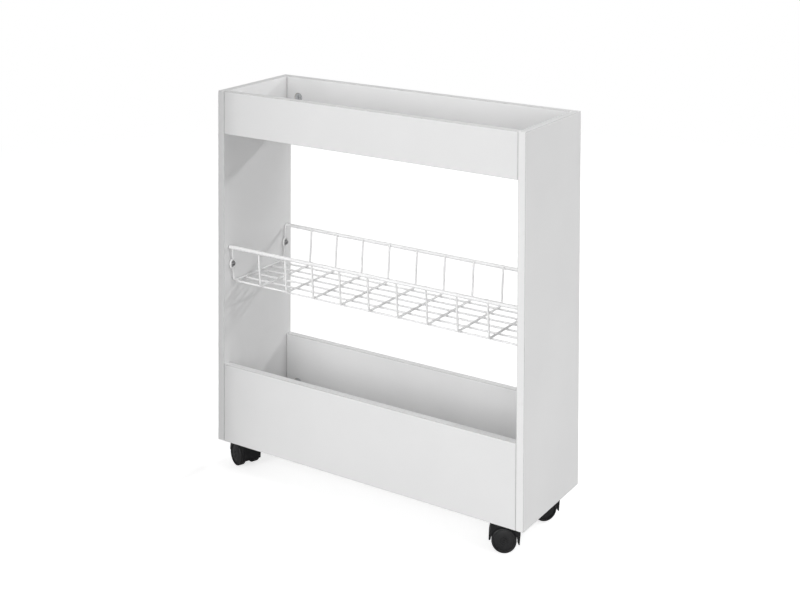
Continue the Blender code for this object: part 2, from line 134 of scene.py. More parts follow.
BODY_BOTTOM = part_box("left_side_panel")[0].z
PANEL_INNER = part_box("right_side_panel")[0].x
CORNERS = ("front_left", "front_right", "back_left", "back_right")


# ---- Mesh tools --------------------------------------------------------------------------------
def to_mesh(bm, name, sharp_angle=None):
    """Mesh with outward normals, shaded smooth up to the sharp angle if one is given."""
    bmesh.ops.recalc_face_normals(bm, faces=bm.faces)
    mesh = bpy.data.meshes.new(name)
    bm.to_mesh(mesh)
    bm.free()
    if sharp_angle is not None:
        mesh.shade_smooth()
        mesh.set_sharp_from_angle(angle=sharp_angle)
    return mesh


def add_object(name, mesh, materials=()):
    item = bpy.data.objects.new(name, mesh)
    bpy.context.scene.collection.objects.link(item)
    for material in materials:
        mesh.materials.append(material)
    return item


def bake(item):
    """Replaces an object's mesh by its evaluated one and drops its modifiers."""
    graph = bpy.context.evaluated_depsgraph_get()
    graph.update()
    mesh = bpy.data.meshes.new_from_object(item.evaluated_get(graph), preserve_all_data_layers=True,
                                           depsgraph=graph)
    mesh.name = item.data.name
    item.modifiers.clear()
    item.data = mesh
    return item


def combine(item, tool_mesh, operation):
    """Boolean of an object with a closed mesh, applied at once."""
    tool = add_object(item.name + "_tool", tool_mesh)
    modifier = item.modifiers.new("Combine", "BOOLEAN")
    modifier.operation = operation
    modifier.solver = "EXACT"
    modifier.material_mode = "TRANSFER"
    modifier.object = tool
    bake(item)
    bpy.data.objects.remove(tool)
    return item


def soften(item, width, segments, angle):
    """Rounds the edges sharper than angle and keeps large faces flat in shading."""
    rounding = item.modifiers.new("Rounding", "BEVEL")
    rounding.width = width
    rounding.segments = segments
    rounding.limit_method = "ANGLE"
    rounding.angle_limit = angle
    rounding.use_clamp_overlap = True
    rounding.harden_normals = True
    item.data.shade_smooth()
    return bake(item)


def arc(centre, radius, start, end, steps):
    """Points on an arc; angles in degrees, both ends included."""
    turn = [math.radians(start + (end - start) * k / steps) for k in range(steps + 1)]
    return [(centre[0] + radius * math.cos(a), centre[1] + radius * math.sin(a)) for a in turn]


def lathe(bm, profile, steps, matrix=Matrix.Identity(4), materials=None):
    """Closed solid turned about +Z from (radius, height) points; a radius of 0 is on the axis."""
    rings = []
    for radius, height in profile:
        if radius == 0:
            rings.append([bm.verts.new(matrix @ Vector((0, 0, height)))] * steps)
            continue
        turns = [2 * math.pi * k / steps for k in range(steps)]
        points = [Vector((radius * math.cos(a), radius * math.sin(a), height)) for a in turns]
        rings.append([bm.verts.new(matrix @ point) for point in points])
    for index, (lower, upper) in enumerate(zip(rings, rings[1:] + rings[:1])):
        for k in range(steps):
            face = list(dict.fromkeys([lower[k], lower[k - 1], upper[k - 1], upper[k]]))
            if len(face) > 2:
                made = bm.faces.new(face)
                made.material_index = materials[index] if materials else 0


def lathe_mesh(name, profile, steps, matrix=Matrix.Identity(4), sharp_angle=PART_SHARP_ANGLE,
               materials=None):
    bm = bmesh.new()
    lathe(bm, profile, steps, matrix, materials)
    return to_mesh(bm, name, sharp_angle)


def skin(bm, rings, closed=False):
    """Faces between rings of equally many vertices, with end caps unless the row of rings is closed."""
    pairs = list(zip(rings, rings[1:]))
    if closed:
        pairs.append((rings[-1], rings[0]))
    else:
        bm.faces.new(rings[0])
        bm.faces.new(rings[-1])
    for first, second in pairs:
        for k in range(len(first)):
            bm.faces.new((first[k - 1], first[k], second[k], second[k - 1]))


def prism(bm, outline, half_width):
    """Prism from a closed (x, z) outline, from y = -half_width to y = +half_width."""
    skin(bm, [[bm.verts.new((x, y, z)) for x, z in outline] for y in (-half_width, half_width)])


def rounded_path(corners, radius, steps):
    """Polyline in space whose inner corners are replaced by arcs of the given radius."""
    points = [Vector(corners[0])]
    for before, here, after in zip(corners, corners[1:], corners[2:]):
        here = Vector(here)
        back = (Vector(before) - here).normalized()
        ahead = (Vector(after) - here).normalized()
        half = back.angle(ahead) / 2
        centre = here + (back + ahead).normalized() * radius / math.sin(half)
        first = here + back * radius / math.tan(half) - centre
        last = here + ahead * radius / math.tan(half) - centre
        points += [centre + first.slerp(last, k / steps).normalized() * radius for k in range(steps + 1)]
    return points + [Vector(corners[-1])]


def rounded_ends(stations, tip):
    """Adds rings that round both ends of a row of wire stations by tip."""
    (start, first, radius), (end, last, _) = stations[0], stations[-1]
    quarter = [math.radians(angle) for angle in (90, 60, 30, 0)]
    steps = [(tip * (1 - math.sin(a)), radius - tip * (1 - math.cos(a))) for a in quarter]
    head = [(start + first * shift, first, size) for shift, size in steps]
    tail = [(end - last * shift, last, size) for shift, size in reversed(steps)]
    return head + stations[1:-1] + tail


def tube(bm, path, radius, side, sides, closed=False, tip=0.0):
    """Round wire along a path in the plane whose normal is side; tip rounds its open ends."""
    side = Vector(side)
    count = len(path)
    stations = []
    for k, point in enumerate(path):
        ahead = path[(k + 1) % count] if closed or k + 1 < count else point
        behind = path[k - 1] if closed or k > 0 else point
        stations.append((Vector(point), (ahead - behind).normalized(), radius))
    if tip:
        stations = rounded_ends(stations, tip)
    rings = []
    for point, along, size in stations:
        across = side.cross(along).normalized()
        ring = []
        for j in range(sides):
            angle = 2 * math.pi * (j + 0.5) / sides
            ring.append(bm.verts.new(point + (side * math.cos(angle) + across * math.sin(angle)) * size))
        rings.append(ring)
    skin(bm, rings, closed)


# ---- Finishes ----------------------------------------------------------------------------------
class Finish:
    """A node material, built up from procedural layers in the piece's own coordinates."""

    def __init__(self, name, colour, roughness, metallic=0.0, specular=0.5):
        self.material = bpy.data.materials.new(name)
        self.material.use_nodes = True
        self.tree = self.material.node_tree
        self.shader = self.tree.nodes["Principled BSDF"]
        self.shader.inputs["Base Color"].default_value = (*colour, 1.0)
        self.shader.inputs["Roughness"].default_value = roughness
        self.shader.inputs["Metallic"].default_value = metallic
        self.shader.inputs["Specular IOR Level"].default_value = specular
        self.material.diffuse_color = (*colour, 1.0)
        self.place = self.node("ShaderNodeTexCoord").outputs["Object"]
        self.normal = None

    def node(self, kind, values=None, **settings):
        node = self.tree.nodes.new(kind)
        for key, value in settings.items():
            setattr(node, key, value)
        for socket, value in (values or {}).items():
            target = node.inputs[socket]
            if isinstance(value, bpy.types.NodeSocket):
                self.tree.links.new(value, target)
            else:
                target.default_value = value
        return node

    def stretched(self, scale):
        return self.node("ShaderNodeMapping", {"Vector": self.place, "Scale": scale}).outputs["Vector"]

    def noise(self, scale, detail=2.0, roughness=0.5, place=None):
        values = {"Vector": place or self.place, "Scale": scale, "Detail": detail, "Roughness": roughness}
        return self.node("ShaderNodeTexNoise", values).outputs["Fac"]

    def cells(self, scale, output="Distance", feature="F1"):
        values = {"Vector": self.place, "Scale": scale}
        return self.node("ShaderNodeTexVoronoi", values, feature=feature).outputs[output]

    def fit(self, value, low, high, to_low, to_high):
        values = {"Value": value, "From Min": low, "From Max": high, "To Min": to_low, "To Max": to_high}
        return self.node("ShaderNodeMapRange", values, clamp=True).outputs["Result"]

    def mix(self, share, first, second):
        """Colour mix; first and second are colours (three numbers) or sockets."""
        node = self.tree.nodes.new("ShaderNodeMix")
        node.data_type = "RGBA"
        for index, value in ((0, share), (6, first), (7, second)):
            if isinstance(value, bpy.types.NodeSocket):
                self.tree.links.new(value, node.inputs[index])
            else:
                node.inputs[index].default_value = value if index == 0 else (*value, 1.0)
        return node.outputs[2]

    def colour(self, value):
        self.tree.links.new(value, self.shader.inputs["Base Color"])
        return self

    def gloss(self, value):
        self.tree.links.new(value, self.shader.inputs["Roughness"])
        return self

    def bump(self, height, strength, distance):
        values = {"Height": height, "Strength": strength, "Distance": distance}
        if self.normal:
            values["Normal"] = self.normal
        self.normal = self.node("ShaderNodeBump", values).outputs["Normal"]
        self.tree.links.new(self.normal, self.shader.inputs["Normal"])
        return self


def melamine():
    """White melamine facing: a fine pearl grain, faint cloudiness and a few matte smudges."""
    finish = Finish("white_melamine", (0.83, 0.83, 0.83), 0.42)
    clouds = finish.noise(7.0, 3.0)
    specks = finish.fit(finish.noise(900.0, 2.0), 0.60, 0.80, 0.0, 1.0)
    cloudy = finish.fit(clouds, 0.35, 0.65, 0.0, 1.0)
    shade = finish.mix(cloudy, (0.842, 0.842, 0.842), (0.818, 0.818, 0.819))
    finish.colour(finish.mix(finish.fit(specks, 0.0, 1.0, 0.0, 0.10), shade, (0.72, 0.72, 0.72)))
    smudges = finish.fit(finish.noise(16.0, 4.0, 0.6), 0.45, 0.70, 0.38, 0.50)
    finish.gloss(smudges)
    finish.bump(finish.noise(1300.0, 2.0), 0.12, 0.00008)
    finish.bump(finish.noise(45.0, 1.0), 0.05, 0.00012)
    return finish.material


def edge_band():
    """White plastic edging: slightly glossier, with fine lengthwise buffing marks and rare scuffs."""
    finish = Finish("white_edge_band", (0.85, 0.85, 0.85), 0.36)
    scuffs = finish.fit(finish.noise(60.0, 5.0, 0.65), 0.62, 0.74, 0.0, 0.55)
    finish.colour(finish.mix(scuffs, (0.856, 0.856, 0.856), (0.80, 0.80, 0.795)))
    finish.gloss(finish.fit(finish.noise(120.0, 3.0), 0.3, 0.7, 0.30, 0.44))
    finish.bump(finish.noise(700.0, 2.0), 0.10, 0.00008)
    return finish.material


def glue_line_and_seam_shade():
    """Trimmed and rounded corner of the edging, greyed partly as the glue line and partly as painted shade
    in the seams between boards.
    """
    finish = Finish("glue_line_and_seam_shade", (0.66, 0.66, 0.66), 0.5)
    wear = finish.fit(finish.noise(80.0, 4.0, 0.6), 0.35, 0.65, 0.0, 1.0)
    finish.colour(finish.mix(wear, (0.69, 0.69, 0.69), (0.62, 0.62, 0.62)))
    finish.bump(finish.noise(500.0, 2.0), 0.10, 0.00008)
    return finish.material


def chipboard():
    """Pressed chips, seen only in the bores."""
    finish = Finish("raw_chipboard", (0.52, 0.38, 0.24), 0.85)
    chips = finish.cells(900.0, "Color")
    finish.colour(finish.mix(finish.fit(chips, 0.0, 1.0, 0.0, 1.0), (0.60, 0.46, 0.30), (0.36, 0.25, 0.15)))
    finish.bump(finish.cells(700.0), 0.6, 0.0004)
    return finish.material


def powder_coat():
    """White powder coat on wire: fine orange peel, a little thinner and greyer where it is rubbed."""
    finish = Finish("white_powder_coat", (0.88, 0.88, 0.88), 0.30)
    rubbed = finish.fit(finish.noise(90.0, 4.0, 0.6), 0.60, 0.75, 0.0, 0.18)
    finish.colour(finish.mix(rubbed, (0.885, 0.885, 0.885), (0.80, 0.80, 0.79)))
    finish.gloss(finish.fit(finish.noise(260.0, 2.0), 0.3, 0.7, 0.22, 0.38))
    finish.bump(finish.noise(1100.0, 2.0), 0.12, 0.00010)
    return finish.material


def castor_plastic():
    """Black moulded nylon with a spark-eroded grain and a grey bloom of dust."""
    finish = Finish("black_castor_plastic", (0.008, 0.008, 0.009), 0.52, specular=0.3)
    dust = finish.fit(finish.noise(140.0, 5.0, 0.62), 0.50, 0.80, 0.0, 0.45)
    finish.colour(finish.mix(dust, (0.008, 0.008, 0.009), (0.034, 0.034, 0.034)))
    finish.gloss(finish.fit(finish.noise(420.0, 3.0), 0.3, 0.7, 0.42, 0.62))
    finish.bump(finish.noise(2600.0, 2.0), 0.30, 0.00010)
    return finish.material


def wheel_plastic():
    """Dark grey wheel sides: smoother, with faint turning rings and dust."""
    finish = Finish("wheel_plastic", (0.016, 0.016, 0.017), 0.34, specular=0.35)
    dust = finish.fit(finish.noise(170.0, 5.0, 0.6), 0.50, 0.80, 0.0, 0.4)
    finish.colour(finish.mix(dust, (0.015, 0.015, 0.016), (0.045, 0.045, 0.044)))
    finish.gloss(finish.fit(finish.noise(300.0, 3.0), 0.3, 0.7, 0.28, 0.42))
    finish.bump(finish.noise(1800.0, 2.0), 0.18, 0.00008)
    return finish.material


def wheel_tread():
    """The running surface: matte, scuffed along its round and greyed by the floor."""
    finish = Finish("wheel_tread", (0.018, 0.018, 0.019), 0.6, specular=0.3)
    scuffs = finish.fit(finish.noise(380.0, 5.0, 0.7), 0.45, 0.70, 0.0, 0.8)
    finish.colour(finish.mix(scuffs, (0.018, 0.018, 0.019), (0.065, 0.064, 0.062)))
    finish.gloss(finish.fit(finish.noise(500.0, 3.0), 0.3, 0.7, 0.50, 0.75))
    finish.bump(finish.noise(900.0, 3.0), 0.4, 0.00012)
    return finish.material


def black_steel():
    finish = Finish("black_coated_steel", (0.02, 0.02, 0.02), 0.42, 0.2)
    rubbed = finish.fit(finish.noise(220.0, 4.0, 0.6), 0.62, 0.78, 0.0, 0.6)
    finish.colour(finish.mix(rubbed, (0.018, 0.018, 0.019), (0.12, 0.12, 0.12)))
    finish.gloss(finish.fit(finish.noise(350.0, 2.0), 0.3, 0.7, 0.34, 0.52))
    finish.bump(finish.noise(1500.0, 2.0), 0.2, 0.0001)
    return finish.material


def metal(name, light, dark, roughness):
    """Plated or drawn metal with fine streaks along its own X axis."""
    finish = Finish(name, light, roughness, 1.0)
    streaks = finish.noise(600.0, 3.0, 0.6, finish.stretched((0.15, 1.0, 1.0)))
    blotches = finish.noise(240.0, 3.0)
    finish.colour(finish.mix(finish.fit(blotches, 0.35, 0.65, 0.0, 1.0), light, dark))
    finish.gloss(finish.fit(streaks, 0.3, 0.7, roughness - 0.08, roughness + 0.12))
    finish.bump(streaks, 0.15, 0.00006)
    return finish.material


MELAMINE = melamine()
EDGE_BAND = edge_band()
GLUE_LINE_AND_SEAM_SHADE = glue_line_and_seam_shade()
CHIPBOARD = chipboard()
POWDER_COAT = powder_coat()
CASTOR_PLASTIC = castor_plastic()
WHEEL_PLASTIC = wheel_plastic()
WHEEL_TREAD = wheel_tread()
BLACK_STEEL = black_steel()
ZINC = metal("bright_zinc", (0.66, 0.67, 0.69), (0.55, 0.56, 0.57), 0.30)
DARK_ZINC = metal("dark_zinc", (0.40, 0.40, 0.405), (0.24, 0.24, 0.245), 0.34)
STEEL = metal("drawn_steel", (0.62, 0.62, 0.63), (0.50, 0.50, 0.51), 0.26)
BOARD_FINISHES = (MELAMINE, EDGE_BAND, GLUE_LINE_AND_SEAM_SHADE)


def place_piece(item, body, slot, *nodes):
    """Ties a finished piece to its CAD body and hides the CAD nodes it stands for. The slot argument is not
    used.
    """
    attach(item, body)
    if nodes:
        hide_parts(*nodes)
    return item


# ---- Boards ------------------------------------------------------------------------------------
def rods_mesh(places, radius, length, axis, steps):
    """Cutter of closed rods of one size, each centred on its place, along 'X', 'Y' or 'Z'."""
    turn = {"X": Matrix.Rotation(math.pi / 2, 4, "Y"), "Y": Matrix.Rotation(math.pi / 2, 4, "X"),
            "Z": Matrix.Identity(4)}[axis]
    bm = bmesh.new()
    for place in places:
        bmesh.ops.create_cone(bm, cap_ends=True, segments=steps, radius1=radius, radius2=radius,
                              depth=length, matrix=Matrix.Translation(place) @ turn)
    mesh = to_mesh(bm, "bores")
    mesh.materials.append(CHIPBOARD)
    return mesh


def add_board(node, face_axis, cutter=None):
    """One board: melamine on its large faces, edging on its narrow sides, rounded seams between them,
    greyed partly as painted seam shade.
    """
    low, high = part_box(node)
    bm = bmesh.new()
    bmesh.ops.create_cube(bm, size=1.0)
    for vert in bm.verts:
        vert.co = Vector([high[k] if vert.co[k] > 0 else low[k] for k in range(3)])
    bmesh.ops.bevel(bm, geom=bm.edges[:], offset=BOARD_ROUND, segments=3, profile=0.5, affect="EDGES")
    for face in bm.faces:
        facing = abs(face.normal[face_axis])
        if facing > 0.999:
            face.material_index = BOARD_FINISHES.index(MELAMINE)
        elif facing < 0.001:
            face.material_index = BOARD_FINISHES.index(EDGE_BAND)
        else:
            # Painted shade: the rounded corners are greyed so that the seams between boards read dark, as
            # well as showing the glue line.
            face.material_index = BOARD_FINISHES.index(GLUE_LINE_AND_SEAM_SHADE)
    item = add_object(node + "_finished", to_mesh(bm, node), BOARD_FINISHES)
    if cutter:
        combine(item, cutter, "DIFFERENCE")
    item.data.shade_smooth()
    item.data.set_sharp_from_angle(angle=BOARD_SHARP_ANGLE)
    weighting = item.modifiers.new("FlatFaces", "WEIGHTED_NORMAL")
    weighting.keep_sharp = True
    return place_piece(item, "cart", "white_melamine", node)


def middle(node):
    low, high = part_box(node)
    return (low + high) / 2


def add_boards():
    for side, sign in (("left", -1), ("right", 1)):
        centres = [middle(f"basket_screw_{place}_{side}") for place in ("front", "back")]
        places = [(sign * PANEL_INNER, centre.y, centre.z) for centre in centres]
        pilots = rods_mesh(places, PILOT_RADIUS, PANEL_PILOT_LENGTH, "X", 24)
        add_board(side + "_side_panel", 0, pilots)
    for level in ("tray", "bin"):
        for place in ("front", "back"):
            locks = [f"{level}_{place}_cam_lock_{end}" for end in ("left", "right")]
            boxes = [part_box(lock) for lock in locks]
            radius = (boxes[0][1].x - boxes[0][0].x) / 2 + CAM_CLEARANCE
            depth = boxes[0][1].y - boxes[0][0].y + 2 * CAM_CLEARANCE
            bores = rods_mesh([(low + high) / 2 for low, high in boxes], radius, depth, "Y", 48)
            add_board(f"{level}_{place}_board", 1, bores)
    add_board("tray_floor", 2)
    centres = [middle(f"{corner}_plate_screw_{k}") for corner in CORNERS
               for k in range(1, SCREWS_PER_PLATE + 1)]
    places = [(centre.x, centre.y, BODY_BOTTOM) for centre in centres]
    pilots = rods_mesh(places, PILOT_RADIUS, FLOOR_PILOT_LENGTH, "Z", 16)
    add_board("bin_floor", 2, pilots)


# ---- Cam locks ---------------------------------------------------------------------------------
def cross_mesh(name, span, width, depth, matrix):
    """Closed cross-shaped cutter that narrows downwards, for a screwdriver recess."""
    half, arm = span / 2, width / 2
    outline = []
    for turn in range(4):
        corner = Matrix.Rotation(turn * math.pi / 2, 2)
        outline += [corner @ Vector(point) for point in ((arm, arm), (arm, half), (-arm, half))]
    bm = bmesh.new()
    rows = []
    for height, share in ((0.2 * depth, 1.15), (-0.55 * depth, 0.80), (-depth, 0.35)):
        rows.append([bm.verts.new(matrix @ Vector((p.x * share, p.y * share, height))) for p in outline])
    skin(bm, rows)
    return to_mesh(bm, name)


def add_cam_locks():
    """Die-cast discs with a raised rim and a cross recess, flush in their bores."""
    for level in ("tray", "bin"):
        for place, sign in (("front", 1), ("back", -1)):
            for end in ("left", "right"):
                node = f"{level}_{place}_cam_lock_{end}"
                low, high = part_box(node)
                radius, depth = (high.x - low.x) / 2, high.y - low.y
                profile = [(0, -depth), (radius - CAM_EDGE, -depth), (radius, CAM_EDGE - depth),
                           (radius, -CAM_EDGE), (radius - CAM_EDGE, 0), (CAM_RIM_SHARE * radius, 0),
                           (CAM_DISH_SHARE * radius, -CAM_DISH), (0, -CAM_DISH)]
                face = middle(node)
                face.y = high.y if sign > 0 else low.y
                turn = Matrix.Translation(face) @ Matrix.Rotation(-sign * math.pi / 2, 4, "X")
                item = add_object(node + "_finished", lathe_mesh(node, profile, 48, turn), (ZINC,))
                recess = cross_mesh("recess", CAM_RECESS_SHARE * radius, CAM_RECESS_ARM,
                                    CAM_RECESS_DEPTH, turn)
                combine(item, recess, "DIFFERENCE")
                item.data.set_sharp_from_angle(angle=PART_SHARP_ANGLE)
                place_piece(item, "cart", "zinc", node)


# ---- Wire basket -------------------------------------------------------------------------------
def wire_half_width(height):
    """Distance of a cross wire's side from the middle, at a height above the cabinet's bottom."""
    rise = (height - BASKET_FLOOR) / (BASKET_RIM + RIM_WIRE / 2 - BASKET_FLOOR)
    return BASKET_FLOOR_HALF + rise * (BASKET_TOP_HALF - BASKET_FLOOR_HALF)


def cross_wire(bm, x, tip_height):
    half = wire_half_width(tip_height)
    bottom, top = BODY_BOTTOM + BASKET_FLOOR, BODY_BOTTOM + tip_height
    corners = [(x, -half, top), (x, -BASKET_FLOOR_HALF, bottom), (x, BASKET_FLOOR_HALF, bottom),
               (x, half, top)]
    path = rounded_path(corners, CROSS_WIRE_BEND, 7)
    tube(bm, path, CROSS_WIRE, (1, 0, 0), WIRE_SIDES, tip=THIN_WIRE_TIP)


def weld(bm, centre, half_size):
    """Flattened bead where two wires are welded."""
    made = bmesh.ops.create_icosphere(bm, subdivisions=2, radius=1.0)
    for vert in made["verts"]:
        vert.co = Vector(centre) + Vector([vert.co[k] * half_size[k] for k in range(3)])


def add_basket():
    end_x = PANEL_INNER - BASKET_END_GAP - CROSS_WIRE
    rim_tip = BASKET_RIM + RIM_WIRE / 2
    inner_half = (INNER_CROSS_WIRES - 1) // 2
    inner_x = [k * CROSS_WIRE_PITCH for k in range(-inner_half, inner_half + 1)]
    rim_y = BASKET_TOP_HALF + CROSS_WIRE + RIM_WIRE - WELD_SINK
    rim_z = BODY_BOTTOM + BASKET_RIM
    floor_z = BODY_BOTTOM + BASKET_FLOOR - CROSS_WIRE - FLOOR_WIRE + WELD_SINK
    floor_y = [(k - (FLOOR_WIRES - 1) / 2) * FLOOR_WIRE_PITCH for k in range(FLOOR_WIRES)]

    bm = bmesh.new()
    for x in inner_x:
        cross_wire(bm, x, rim_tip)
    for end in (-1, 1):
        cross_wire(bm, end * end_x, EYELET_HEIGHT - EYELET_HALF_HEIGHT)
        for side in (-1, 1):
            heights = (EYELET_HEIGHT + EYELET_HALF_HEIGHT, rim_tip)
            stub = [Vector((end * end_x, side * wire_half_width(h), BODY_BOTTOM + h)) for h in heights]
            tube(bm, stub, CROSS_WIRE, (1, 0, 0), WIRE_SIDES, tip=THIN_WIRE_TIP)
    basket = add_object("wire_basket_finished", to_mesh(bm, "wire_basket"), (POWDER_COAT,))

    bm = bmesh.new()
    reach = end_x + CROSS_WIRE
    for side in (-1, 1):
        ends = [Vector((-reach, side * rim_y, rim_z)), Vector((reach, side * rim_y, rim_z))]
        tube(bm, ends, RIM_WIRE, (0, 0, 1), 20, tip=RIM_WIRE_TIP)
    for y in floor_y:
        ends = [Vector((-reach, y, floor_z)), Vector((reach, y, floor_z))]
        tube(bm, ends, FLOOR_WIRE, (0, 0, 1), WIRE_SIDES, tip=THIN_WIRE_TIP)
    for end in (-1, 1):
        for side in (-1, 1):
            centre = Vector((end * end_x, side * EYELET_Y, BODY_BOTTOM + EYELET_HEIGHT))
            loop = [centre + Vector((0, EYELET_HALF_WIDTH * y, EYELET_HALF_HEIGHT * z))
                    for y, z in arc((0, 0), 1.0, 0, 360, 40)[:-1]]
            tube(bm, loop, CROSS_WIRE, (1, 0, 0), WIRE_SIDES, closed=True)
    combine(basket, to_mesh(bm, "long_wires"), "UNION")

    bm = bmesh.new()
    weld_z = BODY_BOTTOM + BASKET_FLOOR - CROSS_WIRE + WELD_SINK / 2
    for x in inner_x + [-end_x, end_x]:
        for y in floor_y:
            weld(bm, (x, y, weld_z), FLOOR_WELD)
        for side in (-1, 1):
            weld(bm, (x, side * (BASKET_TOP_HALF + CROSS_WIRE - WELD_SINK / 2), rim_z), RIM_WELD)
    combine(basket, to_mesh(bm, "welds"), "UNION")
    basket.data.shade_smooth()
    basket.data.set_sharp_from_angle(angle=WIRE_SHARP_ANGLE)
    return place_piece(basket, "cart", "white_powder_coat", "wire_basket")


def add_basket_screws():
    """Domed screws with a cross recess, clamping the eyelets to the side panels."""
    head_x = PANEL_INNER - BASKET_END_GAP - 2 * CROSS_WIRE - RUNNING_GAP
    shares = ((0, 1), (0.45, 0.97), (0.72, 0.82), (0.92, 0.52), (1, 0.22), (1, 0))
    dome = [(across * BASKET_SCREW_HEAD, -up * BASKET_SCREW_HEIGHT) for across, up in shares]
    shank = [(SCREW_RADIUS, 0), (SCREW_RADIUS, BASKET_SCREW_SHANK - SCREW_POINT), (0, BASKET_SCREW_SHANK)]
    for place in ("front", "back"):
        for end, sign in (("left", -1), ("right", 1)):
            node = f"basket_screw_{place}_{end}"
            centre = middle(node)
            turn = (Matrix.Translation((sign * head_x, centre.y, centre.z))
                    @ Matrix.Rotation(sign * math.pi / 2, 4, "Y"))
            item = add_object(node + "_finished", lathe_mesh(node, dome + shank, 40, turn), (DARK_ZINC,))
            flip = Matrix.Translation((0, 0, -BASKET_SCREW_HEIGHT)) @ Matrix.Rotation(math.pi, 4, "X")
            combine(item, cross_mesh("recess", *BASKET_SCREW_RECESS, turn @ flip), "DIFFERENCE")
            item.data.set_sharp_from_angle(angle=PART_SHARP_ANGLE)
            place_piece(item, "cart", "zinc", node)


# ---- Castors -----------------------------------------------------------------------------------
def castor_frame(corner):
    """Matrix from castor coordinates (x from the king pin to the wheels, y along the axle) to the frame."""
    swivel = Vector(JOINTS[corner + "_swivel"]["pos_m"])
    axle = Vector(JOINTS[corner + "_wheel_left_spin"]["axis"])
    ahead = axle.cross(Vector((0, 0, 1)))
    turn = Matrix((ahead, axle, Vector((0, 0, 1)))).transposed().to_4x4()
    return Matrix.Translation((swivel.x, swivel.y, 0)) @ turn


def wheel_trail(corner):
    swivel = Vector(JOINTS[corner + "_swivel"]["pos_m"])
    spins = [Vector(JOINTS[f"{corner}_wheel_{side}_spin"]["pos_m"]) for side in ("left", "right")]
    return ((spins[0] + spins[1]) / 2 - swivel).to_2d().length


TRAIL = wheel_trail("front_left")


def wheel_mesh():
    """Hollow-backed wheel about +Z: rounded tread, a raised rim, a domed disc, a hub groove and a cap."""
    bore, top = AXLE_RADIUS + RUNNING_GAP, WHEEL_OUTER_FACE
    shoulder = arc((WHEEL_RADIUS - TREAD_SHOULDER, top - TREAD_SHOULDER), TREAD_SHOULDER, 0, 90, 6)
    inner_lip = arc((WHEEL_RADIUS - TREAD_LIP, TREAD_INNER_FACE + TREAD_LIP), TREAD_LIP, -90, 0, 3)
    back = [(bore, WHEEL_INNER_FACE), (HUB_RADIUS - SMALL_ROUND, WHEEL_INNER_FACE),
            (HUB_RADIUS, WHEEL_INNER_FACE + SMALL_ROUND), (HUB_RADIUS, WHEEL_WEB_BACK),
            (TREAD_INNER_RADIUS, WHEEL_WEB_BACK), (TREAD_INNER_RADIUS, TREAD_INNER_FACE + SMALL_ROUND),
            (TREAD_INNER_RADIUS + SMALL_ROUND, TREAD_INNER_FACE)]
    rim = [(0.0154, top), (0.0151, top - 0.0003), (0.0149, top - 0.0013), (0.0146, top - 0.0014)]
    disc = [(0.0143 - 0.0020 * k, top - 0.0013 + 0.0012 * math.sin(math.pi * k / 8)) for k in range(5)]
    ring = [(0.0058, top - 0.0001), (0.0055, top - 0.0003), (0.0053, top - 0.0007), (0.0046, top - 0.0007),
            (0.0044, top - 0.0003), (0.0041, top - 0.0001)]
    cap = [(0.0028, top - 0.0001), (0.0025, top - 0.0003), (0.0022, top - 0.0009), (0.0012, top - 0.0009),
           (0.0009, top - 0.0005), (0, top - 0.0004)]
    well = [(0, AXLE_HALF_LENGTH + RUNNING_GAP), (bore, AXLE_HALF_LENGTH + RUNNING_GAP)]
    profile = back + inner_lip + shoulder + rim + disc + ring + cap + well
    tread_rows = range(len(back), len(back) + len(inner_lip) + 1)
    materials = [1 if k in tread_rows else 0 for k in range(len(profile))]
    mesh = lathe_mesh("castor_wheel", profile, 64, materials=materials, sharp_angle=math.radians(30))
    for material in (WHEEL_PLASTIC, WHEEL_TREAD):
        mesh.materials.append(material)
    return mesh


def hood_outline(top):
    """Side view of the hood, from its rear tip over the top to its front tip; wheel centre at (0, 0)."""
    outer = [(0.0203, -0.0006), (0.0214, -0.0004), (0.0219, 0.0010), (0.0190, top - 0.0035)]
    outer += arc((0.0165, top - 0.0025), 0.0025, 0, 90, 6)
    outer += arc((-0.0205, top - 0.0030), 0.0030, 90, 180, 6)
    outer += [(-0.0235, 0.0100), (-0.0222, -0.0055), (-0.0214, -0.0060), (-0.0204, -0.0050)]
    return outer + arc((0, 0), HOOD_INNER_RADIUS, 183, 3, 40)


def web_outline():
    """Side view of the web between the wheels, round below the axle; wheel centre at (0, 0)."""
    return ([(-0.0170, 0.0120), (-0.0150, 0.0080)] + arc((0, 0), HUB_RADIUS, 200, 350, 14)
            + [(0.0085, 0.0120), (0.0100, 0.0185), (-0.0160, 0.0185)])


def housing_mesh(hood_top, pin_tip):
    """Hood, middle web and pin socket in castor coordinates, edges rounded."""
    def prism_mesh(name, outline, half_width):
        bm = bmesh.new()
        prism(bm, [(x + TRAIL, z + WHEEL_RADIUS) for x, z in outline], half_width)
        return to_mesh(bm, name)

    outline = hood_outline(hood_top - WHEEL_RADIUS)
    hood = add_object("housing_source", prism_mesh("castor_housing", outline, HOOD_HALF_WIDTH),
                      (CASTOR_PLASTIC,))
    combine(hood, prism_mesh("web", web_outline(), WEB_HALF_WIDTH), "UNION")
    bore = KING_PIN_RADIUS + RUNNING_GAP
    wall, floor, roof = bore + SOCKET_WALL, pin_tip - SOCKET_FLOOR, hood_top - 0.0010
    socket = [(0, floor), (wall - SMALL_ROUND, floor), (wall, floor + SMALL_ROUND), (wall, roof), (0, roof)]
    combine(hood, lathe_mesh("socket", socket, 40), "UNION")
    bottom, above = pin_tip - 0.0006, hood_top + 0.002
    well = [(0, bottom), (bore, bottom), (bore, above), (0, above)]
    combine(hood, lathe_mesh("well", well, 40), "DIFFERENCE")
    axle = rods_mesh([(TRAIL, 0, WHEEL_RADIUS)], AXLE_RADIUS + RUNNING_GAP, 2 * HOOD_HALF_WIDTH, "Y", 32)
    combine(hood, axle, "DIFFERENCE")
    soften(hood, HOOD_ROUND, 2, PART_SHARP_ANGLE)
    mesh = hood.data
    bpy.data.objects.remove(hood)
    return mesh


